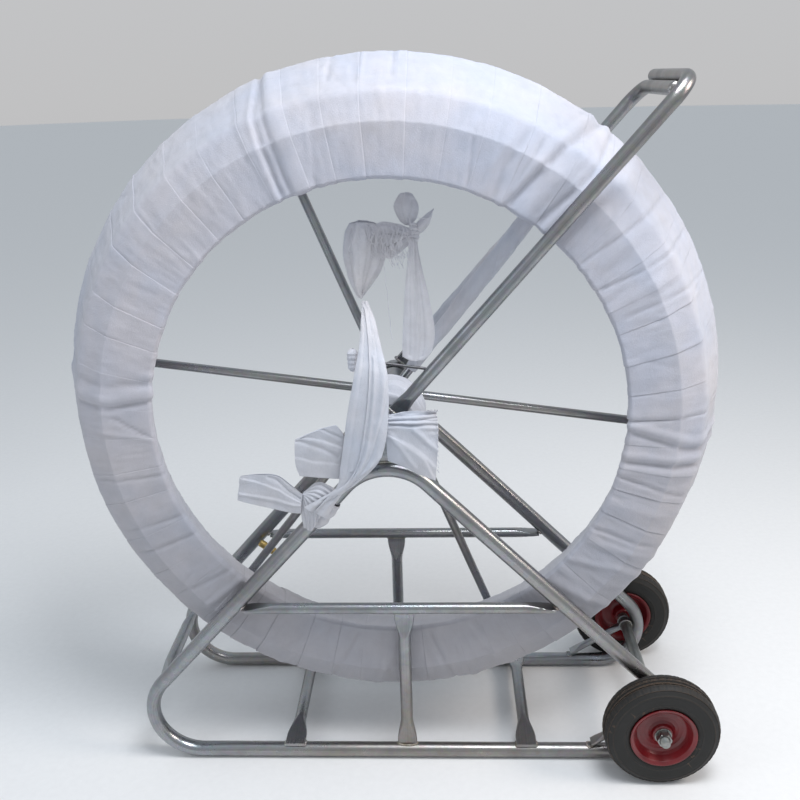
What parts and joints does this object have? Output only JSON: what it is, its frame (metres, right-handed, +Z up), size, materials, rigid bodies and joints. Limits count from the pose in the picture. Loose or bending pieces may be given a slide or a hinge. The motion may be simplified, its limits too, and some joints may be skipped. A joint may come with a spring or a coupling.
{
  "type": "fish tape reel",
  "caption": "Wheeled tube stand with a large spoked reel of duct-rod fish tape, the coil bound in white cloth, with a sloping bent-tube handle.",
  "frame": {"origin": "centre of the footprint at floor level, right under the reel shaft", "axes": "+X towards the wheels and handle, +Y along the reel shaft to the far side, +Z up"},
  "size_m": [1.474, 0.596, 1.5658],
  "materials": {
    "galvanised": "hot-dip galvanised, dull grey with bright streaks",
    "steel": "turned and zinc plated",
    "dark_steel": "dark, unplated",
    "red_paint": "dark red gloss paint",
    "tyre_rubber": "matt black",
    "brass": "turned",
    "binding_cloth": "thin white non-woven packing cloth",
    "rod_jacket": "extruded jacket"
  },
  "bodies": {
    "stand": {"frame_loop_front": "galvanised", "frame_loop_back": "galvanised", "brace_front": "galvanised", "brace_back": "galvanised", "post_front": "galvanised", "post_back": "galvanised", "axle_stay_front": "galvanised", "axle_stay_back": "galvanised", "bearing_plate_front": "galvanised", "bearing_plate_back": "galvanised", "bearing_housing_front": "galvanised", "bearing_housing_back": "galvanised", "bearing_front": "steel", "bearing_back": "steel", "handle_front": "galvanised", "handle_back": "galvanised", "base_bar_left": "galvanised", "base_bar_right": "galvanised", "nose_bar": "galvanised", "axle": "galvanised", "wheel_washer_front": "steel", "wheel_washer_back": "steel", "wheel_nut_front": "steel", "wheel_nut_back": "steel", "drape_cloth": "binding_cloth", "tie_strip": "binding_cloth", "strut_knot": "binding_cloth", "knot_flap_low": "binding_cloth", "knot_flap_high": "binding_cloth", "handle_cloth": "binding_cloth", "side_rod": "dark_steel", "side_rod_knob": "binding_cloth", "rod_head": "brass"},
    "reel": {"reel_shaft": "steel", "shaft_collar_front": "steel", "shaft_collar_back": "steel", "hub_barrel": "galvanised", "spoke_1": "galvanised", "spoke_2": "galvanised", "spoke_3": "galvanised", "spoke_4": "galvanised", "spoke_5": "galvanised", "spoke_6": "galvanised", "basket_ribs": "galvanised", "hoop_front_outer": "galvanised", "hoop_rim": "galvanised", "rod_coil": "rod_jacket", "ring_binding": "binding_cloth", "hub_cloth": "binding_cloth", "spoke_cloth": "binding_cloth", "tie_bunch": "binding_cloth", "bunch_tail": "binding_cloth"},
    "wheel_front": {"tyre_front": "tyre_rubber", "rim_front": "red_paint"},
    "wheel_back": {"tyre_back": "tyre_rubber", "rim_back": "red_paint"}
  },
  "joints": [
    {"name": "reel_spin", "type": "hinge", "parent": "stand", "child": "reel", "pos_m": [0, 0, 0.83], "axis": [0, 1, 0], "continuous": true},
    {"name": "wheel_front_spin", "type": "hinge", "parent": "stand", "child": "wheel_front", "pos_m": [0.593, -0.243, 0.127], "axis": [0, 1, 0], "continuous": true},
    {"name": "wheel_back_spin", "type": "hinge", "parent": "stand", "child": "wheel_back", "pos_m": [0.593, 0.243, 0.127], "axis": [0, 1, 0], "continuous": true}
  ]
}
